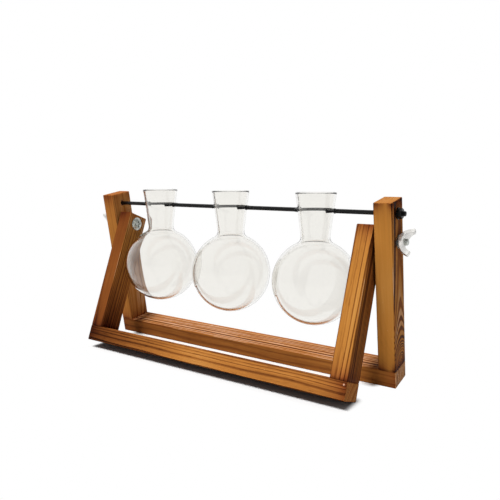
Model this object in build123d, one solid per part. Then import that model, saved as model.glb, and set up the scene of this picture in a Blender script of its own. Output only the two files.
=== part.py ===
from build123d import *

import math
import os

# A propagation vase: three blown glass bulbs hang in steel clips on a bar between two hinged pine frames.
# Millimetres and degrees. X runs along the bar, Y to the back and Z up, with the floor at zero.
# The rear frame leans forward, the front frame leans back, and both stand on the inner edge of their rail.

# Glass vases, from the floor up
bulb_floor_gap = 44.7
bulb_radius = 35.0
glass_wall = 1.8
neck_root_radius = 11.5
neck_flare = 3.0
mouth_flare = 2.0
neck_below_bar = 25.0
neck_above_bar = 14.3
root_rounding = 5.0
lip_rounding_share = 0.46
bulb_gap = 13.5
bulb_side_gap = 1.7
vase_names = ("left", "middle", "right")

# Pine timber of both frames
timber_thickness = 14.1
timber_depth = 23.5
edge_rounding = 0.8
rear_lean = 9.25
front_lean = 21.7
bar_below_top = 10.0
pivot_below_bar = 21.3
front_above_pivot = 9.0

# Steel bar and its neck clips
wire_radius = 1.75
clip_wire_radius = 1.25
clip_seat_share = 0.5
clip_neck_gap = 0.25
clip_slip = 0.75
clip_tip_rounding = 0.7
thread_rise = 0.25
thread_in_timber = 4.0
bar_hole_clearance = 0.1
bar_end_play = 0.25
bar_washer_radius = 4.3
bar_washer_thickness = 0.8
bar_nut_flats = 7.0
bar_nut_thickness = 3.0
bar_nut_chamfer = 0.5
bar_stub = 2.3
bar_stub_chamfer = 0.4
thread_clearance = 0.05

# Pivot bolts with their washers
bolt_radius = 2.5
bolt_hole_clearance = 0.1
bolt_head_radius = 6.5
bolt_head_height = 3.1
bolt_head_rim = 0.6
bolt_projection = 3.4
bolt_end_chamfer = 0.5
cross_width = 1.3
cross_span = 6.4
cross_depth = 1.7
pivot_play = 0.1
spacer_radius = 7.0
spacer_thickness = 1.5
nut_washer_radius = 5.0
nut_washer_thickness = 1.0
washer_bore_clearance = 0.15

# Wing nuts
hub_base_radius = 4.6
hub_top_radius = 3.8
hub_height = 3.2
wing_reach = 11.7
wing_height = 11.0
wing_thickness = 2.2
wing_rounding = 0.5
wing_tip_rounding = 1.5
wing_angle = 41.0
wing_outer_mid_shares = (0.28, 0.68)
wing_shoulder_shares = (0.75, 1.0)
wing_inner_tip_shares = (1.0, 0.63)
wing_inner_mid_shares = (0.56, 0.51)

# Brads that hold each upright on its rail
brad_radius = 0.8
brad_length = 32.0
brad_head_radius = 1.6
brad_head_height = 0.8
brad_spacing = 10.0

# One overrun for every cut that passes through
cut_over = 2.0

# Sizes that follow in the glass
neck_seat_radius = neck_root_radius + neck_flare
mouth_radius = neck_seat_radius + mouth_flare
bulb_inner_radius = bulb_radius - glass_wall
root_height = math.sqrt(bulb_radius**2 - neck_root_radius**2)
inner_root_radius = neck_root_radius - glass_wall
inner_root_height = math.sqrt(bulb_inner_radius**2 - inner_root_radius**2)
bulb_drop = neck_below_bar + root_height
bulb_spacing = 2 * bulb_radius + bulb_gap
vase_places = {name: (index - 1) * bulb_spacing for index, name in enumerate(vase_names)}

# Where each layer across the width lies, from the bulbs outwards
front_inner_x = bulb_spacing + bulb_radius + bulb_side_gap
front_outer_x = front_inner_x + timber_thickness
spacer_inner_x = front_outer_x + pivot_play
rear_inner_x = spacer_inner_x + spacer_thickness
rear_outer_x = rear_inner_x + timber_thickness
hub_base_x = rear_outer_x + nut_washer_thickness + pivot_play
bolt_seat_x = front_inner_x - pivot_play
bolt_end_x = hub_base_x + hub_height + bolt_projection

# The two leans, and how far the rounded inner edge lets each frame down to the floor
rear_sine = math.sin(math.radians(rear_lean))
rear_cosine = math.cos(math.radians(rear_lean))
front_sine = math.sin(math.radians(front_lean))
front_cosine = math.cos(math.radians(front_lean))
rear_drop = edge_rounding * (rear_cosine + rear_sine - 1)
front_drop = edge_rounding * (front_cosine + front_sine - 1)
half_depth = timber_depth / 2

# Heights along the rear frame, measured from its foot
bar_z = bulb_floor_gap + bulb_radius + bulb_drop
bar_along = (bar_z + rear_drop - half_depth * rear_sine) / rear_cosine
pivot_along = bar_along - pivot_below_bar
rear_height = bar_along + bar_below_top
bar_y = half_depth * rear_cosine - bar_along * rear_sine
pivot_y = half_depth * rear_cosine - pivot_along * rear_sine
pivot_z = half_depth * rear_sine + pivot_along * rear_cosine - rear_drop

# Heights along the front frame, whose foot lies where the pivots agree
front_pivot_along = (pivot_z + front_drop - half_depth * front_sine) / front_cosine
front_height = front_pivot_along + front_above_pivot
front_foot_y = pivot_y - front_pivot_along * front_sine + half_depth * front_cosine

# The origin is halfway between the foremost timber edge and whatever reaches furthest back
foremost_y = front_foot_y - timber_depth * front_cosine
rearmost_y = max(bar_y + bulb_radius, timber_depth * rear_cosine)
middle_y = (foremost_y + rearmost_y) / 2

rear_place = Pos(0, -middle_y, -rear_drop) * Rot(X=rear_lean)
front_place = Pos(0, front_foot_y - middle_y, -front_drop) * Rot(X=-front_lean)
bar_place = Pos(0, bar_y - middle_y, bar_z)
pivot_place = Pos(0, pivot_y - middle_y, pivot_z)

# Sizes that follow in the steel
clip_inner_radius = neck_seat_radius + clip_neck_gap
clip_radius = clip_inner_radius + clip_wire_radius
clip_seat = clip_radius + clip_wire_radius * clip_seat_share
clip_half_gap = math.degrees(math.asin((neck_root_radius + clip_slip) / clip_inner_radius))
thread_radius = wire_radius + thread_rise
bar_hole_radius = thread_radius + bar_hole_clearance
bar_washer_x = rear_outer_x + bar_end_play
bar_nut_x = bar_washer_x + bar_washer_thickness
bar_end_x = bar_nut_x + bar_nut_thickness + bar_stub
bolt_hole_radius = bolt_radius + bolt_hole_clearance


def corner(section, point):
    """The corner of a flat section that lies nearest a point."""
    return section.vertices().sort_by_distance((point[0], point[1], 0))[0]


def rod_along_x(radius, start_x, end_x):
    """A round rod on the X axis."""
    return Pos(X=(start_x + end_x) / 2) * Rot(Y=90) * Cylinder(radius, abs(end_x - start_x))


def disc_washer(radius, bore_radius, start_x, end_x):
    """A flat washer on the X axis."""
    over = cut_over if end_x > start_x else -cut_over
    return rod_along_x(radius, start_x, end_x) - rod_along_x(bore_radius, start_x - over, end_x + over)


def vase():
    """A blown vase, with its axis on Z and the bar's level at zero."""
    centre_z = -bulb_drop
    foot = (0, centre_z - bulb_radius)
    outer_root = (neck_root_radius, centre_z + root_height)
    outer_lip = (mouth_radius, neck_above_bar)
    inner_lip = (mouth_radius - glass_wall, neck_above_bar)
    inner_root = (inner_root_radius, centre_z + inner_root_height)
    inner_foot = (0, centre_z - bulb_inner_radius)
    outline = [
        ThreePointArc(foot, (bulb_radius, centre_z), outer_root),
        ThreePointArc(outer_root, (neck_seat_radius, 0), outer_lip),
        Line(outer_lip, inner_lip),
        ThreePointArc(inner_lip, (neck_seat_radius - glass_wall, 0), inner_root),
        ThreePointArc(inner_root, (bulb_inner_radius, centre_z), inner_foot),
        Line(inner_foot, foot),
    ]
    section = make_face(outline)
    section = fillet(corner(section, outer_root), root_rounding)
    section = fillet(corner(section, inner_root), root_rounding + glass_wall)
    lip_rounding = glass_wall * lip_rounding_share
    section = fillet([corner(section, outer_lip), corner(section, inner_lip)], lip_rounding)
    return revolve(Plane.XZ * section, Axis.Z)


def neck_clip():
    """An open ring of wire round a neck, with its gap to the front."""
    turn = 360 - 2 * clip_half_gap
    wire = Plane.XZ * Pos(X=clip_radius) * Circle(clip_wire_radius)
    ring = Rot(Z=90 - turn / 2) * revolve(wire, Axis.Z, turn)
    tips = ring.edges().filter_by(GeomType.CIRCLE).filter_by(lambda edge: edge.radius < clip_inner_radius)
    ends = [face for face in ring.faces() if face.geom_type == GeomType.PLANE]
    tip_edges = [edge for edge in tips if any(edge in end.edges() for end in ends)]
    return fillet(tip_edges, clip_tip_rounding)


def clip_envelope():
    """The whole ring that a bar's end is coped to."""
    return Torus(clip_radius, clip_wire_radius)


def bridge_bar(left_name, right_name):
    """The bar between two clips, coped to both."""
    left_x, right_x = vase_places[left_name], vase_places[right_name]
    bar = rod_along_x(wire_radius, left_x + clip_seat, right_x - clip_seat)
    return bar - Pos(X=left_x) * clip_envelope() - Pos(X=right_x) * clip_envelope()


def end_bar():
    """The bar from the right clip out through the upright, threaded for its nut."""
    clip_x = vase_places["right"]
    thread_start_x = rear_outer_x - thread_in_timber
    thread = rod_along_x(thread_radius, thread_start_x, bar_end_x)
    thread = chamfer(thread.edges().sort_by(Axis.X)[-1], bar_stub_chamfer)
    bar = rod_along_x(wire_radius, clip_x + clip_seat, thread_start_x) + thread
    return bar - Pos(X=clip_x) * clip_envelope()


def bar_washer():
    """The washer between the upright and the bar's nut."""
    return disc_washer(bar_washer_radius, thread_radius + washer_bore_clearance, bar_washer_x, bar_nut_x)


def bar_nut():
    """A hexagon nut on the end of the bar."""
    corner_radius = bar_nut_flats / math.sqrt(3)
    hexagon = extrude(RegularPolygon(corner_radius, 6), bar_nut_thickness)
    blank = Cylinder(corner_radius, bar_nut_thickness, align=(Align.CENTER, Align.CENTER, Align.MIN))
    blank = chamfer(blank.edges().filter_by(GeomType.CIRCLE), bar_nut_chamfer)
    nut = Pos(X=bar_nut_x) * Rot(Y=90) * (hexagon & blank)
    bore = rod_along_x(thread_radius + thread_clearance, bar_nut_x - cut_over, bar_end_x + cut_over)
    return nut - bore


def pivot_bolt():
    """A cross-headed bolt on the X axis, from its head inside to its end outside."""
    top_x = bolt_seat_x - bolt_head_height
    rim_x = bolt_seat_x - bolt_head_rim
    dome_height = bolt_head_height - bolt_head_rim
    dome_radius = (bolt_head_radius**2 + dome_height**2) / (2 * dome_height)
    halfway = bolt_head_radius / 2
    halfway_x = top_x + dome_radius - math.sqrt(dome_radius**2 - halfway**2)
    outline = [
        Line((bolt_seat_x, 0), (bolt_seat_x, bolt_head_radius)),
        Line((bolt_seat_x, bolt_head_radius), (rim_x, bolt_head_radius)),
        ThreePointArc((rim_x, bolt_head_radius), (halfway_x, halfway), (top_x, 0)),
        Line((top_x, 0), (bolt_seat_x, 0)),
    ]
    head = revolve(make_face(outline), Axis.X)
    blade = Pos(X=top_x) * Box(2 * cross_depth, cross_span, cross_width)
    head -= blade + Rot(X=90) * blade
    shank = rod_along_x(bolt_radius, bolt_seat_x, bolt_end_x)
    return head + chamfer(shank.edges().sort_by(Axis.X)[-1], bolt_end_chamfer)


def spacer():
    """The washer that keeps the two frames apart at a pivot."""
    return disc_washer(spacer_radius, bolt_radius + washer_bore_clearance, spacer_inner_x, rear_inner_x)


def nut_washer():
    """The washer under a wing nut."""
    outer_x = rear_outer_x + nut_washer_thickness
    return disc_washer(nut_washer_radius, bolt_radius + washer_bore_clearance, rear_outer_x, outer_x)


def wing_nut():
    """A wing nut on the X axis, its wings turned to where the photographed one stands."""

    def at(shares):
        return (hub_base_x + wing_height * shares[0], wing_reach * shares[1])

    hub_top_x = hub_base_x + hub_height
    base_corner, top_corner = (hub_base_x, hub_base_radius), (hub_top_x, hub_top_radius)
    hub_outline = Polyline((hub_base_x, 0), base_corner, top_corner, (hub_top_x, 0), close=True)
    hub = revolve(make_face(hub_outline), Axis.X)
    inner_root = (hub_top_x - wing_rounding, bolt_radius + thread_clearance)
    outer_root = (hub_base_x + wing_rounding, bolt_radius + thread_clearance)
    hub_side = (hub_base_x + wing_rounding, hub_top_radius)
    shoulder, inner_tip = at(wing_shoulder_shares), at(wing_inner_tip_shares)
    outline = [
        Line(outer_root, hub_side),
        ThreePointArc(hub_side, at(wing_outer_mid_shares), shoulder),
        Line(shoulder, inner_tip),
        ThreePointArc(inner_tip, at(wing_inner_mid_shares), inner_root),
        Line(inner_root, outer_root),
    ]
    section = make_face(outline)
    section = fillet([corner(section, shoulder), corner(section, inner_tip)], wing_tip_rounding)
    wing = extrude(section, wing_thickness / 2, both=True)
    sides = wing.faces().filter_by(Axis.Z)
    rims = [edge for side in sides for edge in side.edges() if edge.center().Y > hub_top_radius]
    wing = fillet(rims, wing_rounding)
    wings = wing + Rot(X=180) * wing
    bore = rod_along_x(bolt_radius + thread_clearance, hub_base_x - cut_over, bolt_end_x + cut_over)
    return Rot(X=90 - wing_angle) * (hub + wings - bore)


def brads(frame_outer_x):
    """The four brads of a frame, driven up through the rail near its two ends."""
    upright_x = frame_outer_x - timber_thickness / 2
    shank = Cylinder(brad_radius, brad_length, align=(Align.CENTER, Align.CENTER, Align.MIN))
    head = Cylinder(brad_head_radius, brad_head_height, align=(Align.CENTER, Align.CENTER, Align.MIN))
    brad = shank + head
    sides = (-upright_x, upright_x)
    steps = (-brad_spacing / 2, brad_spacing / 2)
    return [Pos(x, half_depth + step, 0) * brad for x in sides for step in steps]


def rail(frame_outer_x):
    """A frame's bottom rail, from its foot edge on the X axis to the back and up."""
    low = (Align.CENTER, Align.MIN, Align.MIN)
    block = Box(2 * frame_outer_x, timber_depth, timber_thickness, align=low)
    block = fillet(block.edges(), edge_rounding)
    for brad in brads(frame_outer_x):
        block -= brad
    return block


def upright(outer_x, height, holes):
    """A frame's right upright, which stands on its rail, with holes at heights from the foot."""
    low = (Align.MAX, Align.MIN, Align.MIN)
    block = Box(timber_thickness, timber_depth, height - timber_thickness, align=low)
    block = Pos(outer_x, 0, timber_thickness) * block
    foot_edges = block.faces().sort_by(Axis.Z)[0].edges()
    block = fillet([edge for edge in block.edges() if edge not in foot_edges], edge_rounding)
    for hole_height, hole_radius in holes:
        hole = rod_along_x(hole_radius, outer_x - timber_thickness - cut_over, outer_x + cut_over)
        block -= Pos(0, half_depth, hole_height) * hole
    for brad in brads(outer_x):
        block -= brad
    return block


def to_left(shape):
    """The same piece on the other side of the middle plane."""
    return mirror(shape, Plane.YZ)


def to_front(shape):
    """A frame's piece turned to face the other way across its foot edge."""
    return mirror(shape, Plane.XZ)


def frame_nodes():
    """The timbers and brads of both frames."""
    rear = upright(rear_outer_x, rear_height, [(bar_along, bar_hole_radius), (pivot_along, bolt_hole_radius)])
    front = to_front(upright(front_outer_x, front_height, [(front_pivot_along, bolt_hole_radius)]))
    return {
        "rear_rail": rear_place * rail(rear_outer_x),
        "rear_left_upright": rear_place * to_left(rear),
        "rear_right_upright": rear_place * rear,
        "rear_frame_brads": rear_place * Compound(brads(rear_outer_x)),
        "front_rail": front_place * to_front(rail(front_outer_x)),
        "front_left_upright": front_place * to_left(front),
        "front_right_upright": front_place * front,
        "front_frame_brads": front_place * to_front(Compound(brads(front_outer_x))),
    }


def pivot_nodes():
    """The bolt, washers and wing nut of each pivot."""
    pieces = {
        "pivot_bolt": pivot_bolt(),
        "pivot_spacer": spacer(),
        "nut_washer": nut_washer(),
        "wing_nut": wing_nut(),
    }
    nodes = {}
    for name, piece in pieces.items():
        nodes["left_" + name] = pivot_place * to_left(piece)
        nodes["right_" + name] = pivot_place * piece
    return nodes


def bar_nodes():
    """The bar in its four lengths, the clips between them and what holds its ends."""
    nodes = {
        "left_bridge_bar": bar_place * bridge_bar("left", "middle"),
        "right_bridge_bar": bar_place * bridge_bar("middle", "right"),
    }
    for name, piece in {"end_bar": end_bar(), "bar_washer": bar_washer(), "bar_nut": bar_nut()}.items():
        nodes["left_" + name] = bar_place * to_left(piece)
        nodes["right_" + name] = bar_place * piece
    for name, place_x in vase_places.items():
        nodes[name + "_neck_clip"] = bar_place * Pos(X=place_x) * neck_clip()
    return nodes


def vase_nodes():
    """The three glass vases, each in its clip."""
    return {name + "_vase": bar_place * Pos(X=place_x) * vase() for name, place_x in vase_places.items()}


os.makedirs("parts", exist_ok=True)
for node, shape in {**frame_nodes(), **pivot_nodes(), **bar_nodes(), **vase_nodes()}.items():
    export_step(shape, os.path.join("parts", node + ".step"))

print("bar at", round(bar_y - middle_y, 3), round(bar_z, 3))
print("pivots at", round(pivot_y - middle_y, 3), round(pivot_z, 3))
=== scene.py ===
"""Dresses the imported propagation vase: glass bulbs on a black bar in a folding stand of charred pine.

Everything is in metres in the part's frame: X along the bar, Y to the back, Z up, with the floor at zero.
Sizes in the classes are in millimetres, as the part's source gives them.
"""

from __future__ import annotations

import logging
import math
from dataclasses import dataclass, field
from enum import Enum
from typing import Callable

import bmesh
import bpy
import numpy as np
from mathutils import Matrix, Vector, noise

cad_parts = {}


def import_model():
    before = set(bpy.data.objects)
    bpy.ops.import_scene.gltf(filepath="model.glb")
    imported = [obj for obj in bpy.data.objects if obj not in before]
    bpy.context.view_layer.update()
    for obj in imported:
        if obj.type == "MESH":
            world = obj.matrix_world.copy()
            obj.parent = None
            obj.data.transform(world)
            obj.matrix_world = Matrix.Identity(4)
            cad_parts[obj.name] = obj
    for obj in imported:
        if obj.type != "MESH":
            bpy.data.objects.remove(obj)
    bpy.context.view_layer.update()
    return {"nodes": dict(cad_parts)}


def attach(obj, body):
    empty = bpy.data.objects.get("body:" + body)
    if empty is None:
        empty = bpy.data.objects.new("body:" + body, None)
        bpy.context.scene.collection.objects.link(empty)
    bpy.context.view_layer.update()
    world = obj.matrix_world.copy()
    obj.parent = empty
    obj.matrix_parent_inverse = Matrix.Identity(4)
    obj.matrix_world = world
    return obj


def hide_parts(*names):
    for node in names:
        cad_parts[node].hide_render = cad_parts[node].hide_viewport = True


LOG = logging.getLogger("propagation_vase")
MM = 0.001
FULL_TURN = 2 * math.pi
WHITE = (1.0, 1.0, 1.0, 1.0)
VASE_WORDS = ("left", "middle", "right")
VASE_SPACING = 83.5
VASE_SEED_STEP = 3.7
BAR_LEVEL = (8.657, 137.757)

Point = tuple[float, float]
Point3 = tuple[float, float, float]
Colour = tuple[float, float, float, float]
Stops = tuple[tuple[float, str], ...]
Socket = bpy.types.NodeSocket


class Side(Enum):
    """Which side of the middle plane a piece is on."""

    LEFT = -1
    RIGHT = 1

    @property
    def word(self) -> str:
        """The side as it stands in piece names."""
        return self.name.lower()


class Face(Enum):
    """A timber's six faces, by axis and sign: X is its thickness, Y its depth and Z its grain."""

    LOW_X = (0, -1)
    HIGH_X = (0, 1)
    FRONT = (1, -1)
    BACK = (1, 1)
    LOW_END = (2, -1)
    HIGH_END = (2, 1)


# Helpers that every piece uses


def linear(hex_text: str) -> Colour:
    """Turns an sRGB hex value into a linear colour.

    Args:
        hex_text: The colour as six hex digits after a hash.

    Returns:
        Linear red, green, blue and an alpha of 1.
    """
    parts = [int(hex_text[at : at + 2], 16) / 255 for at in (1, 3, 5)]
    return (*[c / 12.92 if c <= 0.04045 else ((c + 0.055) / 1.055) ** 2.4 for c in parts], 1.0)


def grey(level: float) -> Colour:
    """A neutral colour of one linear level."""
    return (level, level, level, 1.0)


class Graph:
    """The node tree of a material or world, with short ways to add the nodes used most."""

    def __init__(self, owner: bpy.types.Material | bpy.types.World) -> None:
        """Starts the owner's node tree empty.

        Args:
            owner: A new material or world.
        """
        owner.use_nodes = True
        self.tree = owner.node_tree
        self.tree.nodes.clear()

    def add(
        self,
        kind: str,
        inputs: dict[int | str, object] | None = None,
        out: int | str = 0,
        stops: Stops = (),
        **settings: object,
    ) -> Socket:
        """Adds a node with its settings and links.

        Args:
            kind: The node's type without its ShaderNode prefix.
            inputs: A value or a linked output for each input, by name or number.
            out: The output that is given back.
            stops: A colour ramp's places and hex colours.
            **settings: The node's own properties.

        Returns:
            The chosen output, or the first input of a node that has no output.
        """
        node = self.tree.nodes.new("ShaderNode" + kind)
        for name, value in settings.items():
            setattr(node, name, value)
        if stops:
            elements = node.color_ramp.elements
            while len(elements) < len(stops):
                elements.new(0.5)
            for element, (place, hex_text) in zip(elements, stops):
                element.position = place
                element.color = linear(hex_text)
        for key, value in (inputs or {}).items():
            if isinstance(value, Socket):
                self.tree.links.new(value, node.inputs[key])
            else:
                node.inputs[key].default_value = value
        return node.outputs[out] if node.outputs else node.inputs[0]

    def math(self, operation: str, *values: Socket | float, **settings: object) -> Socket:
        """Adds a Math node for an operation on its values."""
        return self.add("Math", dict(enumerate(values)), operation=operation, **settings)

    def vector(self, operation: str, *values: Socket | Point3, out: str = "Vector") -> Socket:
        """Adds a Vector Math node for an operation on its values."""
        return self.add("VectorMath", dict(enumerate(values)), out=out, operation=operation)

    def remap(
        self,
        value: Socket,
        source: tuple[Socket | float, Socket | float] = (0.0, 1.0),
        target: Point = (0.0, 1.0),
        curve: str = "LINEAR",
    ) -> Socket:
        """Maps one range onto another and holds the value at its ends.

        Args:
            value: What is mapped.
            source: The range that it comes from.
            target: The range that it goes to.
            curve: How it runs from end to end.

        Returns:
            The mapped value.
        """
        inputs = dict(enumerate((value, *source, *target)))
        return self.add("MapRange", inputs, interpolation_type=curve)

    def place(self) -> Socket:
        """Where on the piece a point lies, in metres."""
        return self.add("TexCoord", out="Object")

    def noise(self, place: Socket, size_mm: float, detail: float) -> Socket:
        """Adds noise with lumps of about a size in millimetres."""
        return self.add("TexNoise", {"Vector": place, "Scale": 1 / (size_mm * MM), "Detail": detail})

    def ramp(self, share: Socket, stops: Stops) -> Socket:
        """Adds a colour ramp with its stops."""
        return self.add("ValToRGB", {0: share}, stops=stops)

    def mix(self, share: Socket, first: Socket | Colour, second: Socket | Colour) -> Socket:
        """Mixes two colours, from the first at a share of 0 to the second at 1."""
        return self.add("Mix", {0: share, 6: first, 7: second}, out=2, data_type="RGBA")

    def bump(self, height: Socket, depth_mm: float, strength: float) -> Socket:
        """Adds relief of a depth in millimetres."""
        return self.add("Bump", {"Strength": strength, "Distance": depth_mm * MM, "Height": height})


def linked(name: str, data: bpy.types.ID) -> bpy.types.Object:
    """Puts a new object with its data into the scene."""
    thing = bpy.data.objects.new(name, data)
    bpy.context.scene.collection.objects.link(thing)
    return thing


def new_piece(name: str, mesh: bpy.types.Mesh, material: bpy.types.Material) -> bpy.types.Object:
    """Puts a mesh into the scene as a smooth piece with its finish.

    Args:
        name: The piece's name.
        mesh: Its mesh.
        material: Its material.

    Returns:
        The new object.
    """
    piece = linked(name, mesh)
    mesh.materials.clear()
    mesh.materials.append(material)
    mesh.shade_smooth()
    return piece


def seat_piece(piece: bpy.types.Object, body: str, *nodes: str) -> None:
    """Rides a piece on its body and lets it stand for its nodes.

    Args:
        piece: The piece, in place.
        body: The body that carries it.
        *nodes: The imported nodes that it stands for.
    """
    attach(piece, body)
    if nodes:
        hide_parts(*nodes)
    LOG.info("%s rides on %s: %d faces", piece.name, body, len(piece.data.polygons))


def applied(piece: bpy.types.Object) -> None:
    """Turns a piece's modifiers into its mesh.

    Args:
        piece: The piece whose modifiers are applied.
    """
    graph = bpy.context.evaluated_depsgraph_get()
    mesh = bpy.data.meshes.new_from_object(piece.evaluated_get(graph))
    piece.modifiers.clear()
    old, piece.data = piece.data, mesh
    bpy.data.meshes.remove(old)


def mesh_from(work: bmesh.types.BMesh, name: str) -> bpy.types.Mesh:
    """Ends an edit and keeps what it made as a mesh."""
    mesh = bpy.data.meshes.new(name)
    work.to_mesh(mesh)
    work.free()
    return mesh


def round_x(x: float, radius: float, angle: float) -> Point3:
    """A point at a radius and an angle round the X axis."""
    return (x, radius * math.cos(angle), radius * math.sin(angle))


def ringed(rows: int, around: int, point: Callable[[int, float], Point3]) -> np.ndarray:
    """Lays closed rings of points.

    Args:
        rows: The number of rings.
        around: The points of each ring.
        point: Gives the place for a ring's number and an angle.

    Returns:
        The points, as ring by point by coordinate.
    """
    angles = [FULL_TURN * at / around for at in range(around)]
    return np.array([[point(row, angle) for angle in angles] for row in range(rows)])


def on_side(rings: np.ndarray, side: Side) -> np.ndarray:
    """Mirrors rings that are made for the right side, where they go on the left."""
    return rings if side is Side.RIGHT else (rings * (-1, 1, 1))[:, ::-1]


def grid_mesh(name: str, rings: np.ndarray) -> bpy.types.Mesh:
    """Skins a stack of closed rings and caps its two ends.

    Args:
        name: The mesh's name.
        rings: The points in millimetres, as ring by point by coordinate.

    Returns:
        The skinned mesh.
    """
    count, around, _ = rings.shape
    faces = []
    for low in range(0, (count - 1) * around, around):
        for at in range(around):
            after, high = (at + 1) % around, low + around
            faces.append((low + at, low + after, high + after, high + at))
    faces.append(tuple(reversed(range(around))))
    faces.append(tuple((count - 1) * around + at for at in range(around)))
    mesh = bpy.data.meshes.new(name)
    mesh.from_pydata((rings * MM).reshape(-1, 3).tolist(), [], faces)
    mesh.update()
    return mesh


# Finishes


@dataclass(frozen=True)
class Finish:
    """A finish under the name of its real material. Each kind says what its shader gets."""

    name: str

    def build(self) -> bpy.types.Material:
        """Makes the material.

        Returns:
            The finished material.
        """
        material = bpy.data.materials.new(self.name)
        graph = Graph(material)
        shader = graph.add("BsdfPrincipled", self.sockets(graph))
        graph.add("OutputMaterial", {0: shader})
        return material

    def sockets(self, graph: Graph) -> dict[int | str, object]:
        """Adds the finish's own nodes.

        Args:
            graph: The material's node tree.

        Returns:
            A value or a linked output for each socket of the shader that isn't left plain.
        """
        raise NotImplementedError


@dataclass(frozen=True)
class CharredPine(Finish):
    """Pine, scorched, wire-brushed and oiled: hard late wood is proud and dark, soft early wood lighter.

    The oil leaves a low satin sheen over fine lengthwise fibres, and the arrises stay scorched. The mesh
    carries the growth rings, the tone of each face and the distance from its arrises, so one recipe serves
    every timber. Fibre, fleck and blotch are streaks, each a width and a length in millimetres and octaves.
    """

    name: str = "charred_pine"
    ior: float = 1.5
    specular: float = 0.02
    early_roughness: float = 0.68
    late_roughness: float = 0.5
    fibre: Point3 = (0.7, 60.0, 3.0)
    fleck: Point3 = (0.4, 9.0, 2.0)
    blotch: Point3 = (16.0, 46.0, 3.0)
    fibre_relief_mm: float = 0.06
    relief_strength: float = 0.7
    ring_wander: float = 0.34
    late_fade: float = 0.2
    late_end: float = 0.93
    year_strength: Point = (0.35, 1.15)
    band_rate: float = 0.42
    blotch_spread: float = 0.16
    fibre_spread: Point = (0.12, 0.34)
    band_spread: float = 0.48
    late_tone: float = -0.64
    fleck_range: Point = (0.58, 0.72)
    fleck_tones: Point = (0.04, -0.16)
    scorch_width_mm: float = 1.65
    scorch_tone: float = -0.26
    worn_width_mm: float = 0.45
    worn_tone: float = 0.7
    rubbed_range: Point = (0.44, 0.58)
    speck_mm: float = 0.9
    speck_range: Point = (0.73, 0.81)
    speck_tone: float = 0.22
    tones: Stops = (
        (0.0, "#281207"),
        (0.25, "#4C2810"),
        (0.5, "#875325"),
        (0.75, "#BE7F38"),
        (0.88, "#CB9048"),
        (1.0, "#E0BA92"),
    )
    red_tones: Stops = (
        (0.0, "#280F07"),
        (0.25, "#4A2012"),
        (0.5, "#803E1D"),
        (0.75, "#B5683A"),
        (0.88, "#C4804E"),
        (1.0, "#DEB097"),
    )

    def sockets(self, graph: Graph) -> dict[int | str, object]:
        """The wood's own nodes, and what its shader gets."""
        place = graph.place()
        ring, edge = (graph.add("Attribute", out="Fac", attribute_name=name) for name in ("ring", "edge"))
        stain, char = (graph.add("Attribute", out=out, attribute_name="stain") for out in ("Color", "Alpha"))
        tone, red, grain = (graph.add("SeparateColor", {0: stain}, out=channel) for channel in range(3))
        streaks = (self.fibre, self.fleck, self.blotch)
        fibre, fleck, blotch = (self.streaked(graph, place, *sizes) for sizes in streaks)
        phase = graph.math("ADD", ring, graph.math("MULTIPLY", fibre, self.ring_wander))
        late = self.late_wood(graph, phase, char, grain)
        slow = graph.math("MULTIPLY", phase, self.band_rate)
        band = graph.add("TexNoise", {"W": slow, "Scale": 1.0, "Detail": 1.0}, noise_dimensions="1D")
        lively = graph.remap(grain, target=self.fibre_spread)
        banded = graph.math("MULTIPLY", grain, self.band_spread)
        for part, spread in ((blotch, self.blotch_spread), (fibre, lively), (band, banded)):
            tone = graph.math("MULTIPLY_ADD", graph.math("SUBTRACT", part, 0.5), spread, tone)
        tone = graph.math("MULTIPLY_ADD", late, self.late_tone, tone)
        flecked = graph.remap(fleck, self.fleck_range, self.fleck_tones)
        tone = graph.math("MULTIPLY_ADD", flecked, grain, tone)
        reach = graph.math("MULTIPLY", blotch, self.scorch_width_mm)
        scorch = graph.remap(edge, (0.0, reach), (self.scorch_tone, 0.0))
        tone = graph.math("ADD", tone, scorch)
        worn = graph.remap(edge, (0.0, self.worn_width_mm), (self.worn_tone, 0.0))
        tone = graph.math("ADD", tone, graph.math("MULTIPLY", worn, graph.remap(blotch, self.rubbed_range)))
        speck = graph.noise(place, self.speck_mm, detail=1.0)
        speck = graph.remap(speck, self.speck_range, (0.0, self.speck_tone))
        tone = graph.math("ADD", tone, speck, use_clamp=True)
        colour = graph.mix(red, graph.ramp(tone, self.tones), graph.ramp(tone, self.red_tones))
        relief = graph.math("ADD", fibre, late)
        return {
            "Base Color": colour,
            "Roughness": graph.remap(late, target=(self.early_roughness, self.late_roughness)),
            "IOR": self.ior,
            "Specular IOR Level": self.specular,
            "Normal": graph.bump(relief, self.fibre_relief_mm, self.relief_strength),
        }

    def late_wood(self, graph: Graph, phase: Socket, char: Socket, grain: Socket) -> Socket:
        """Finds the dark late wood at the end of each year's growth.

        Args:
            graph: The material's node tree.
            phase: The ring number, with its share.
            char: The share of each year that stays dark.
            grain: How strong the grain is on the face.

        Returns:
            From 0 in early wood to 1 or a little over in late wood.
        """
        share = graph.math("FRACT", phase)
        begins = graph.math("SUBTRACT", 1.0, char)
        full = graph.math("ADD", begins, self.late_fade)
        rise = graph.remap(share, (begins, full), curve="SMOOTHSTEP")
        fall = graph.remap(share, (self.late_end, 1.0), (1.0, 0.0))
        year = {"W": graph.math("FLOOR", phase)}
        each = graph.add("TexWhiteNoise", year, out="Value", noise_dimensions="1D")
        late = graph.math("MULTIPLY", rise, fall)
        late = graph.math("MULTIPLY", late, graph.remap(each, target=self.year_strength))
        return graph.math("MULTIPLY", late, grain)

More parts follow.
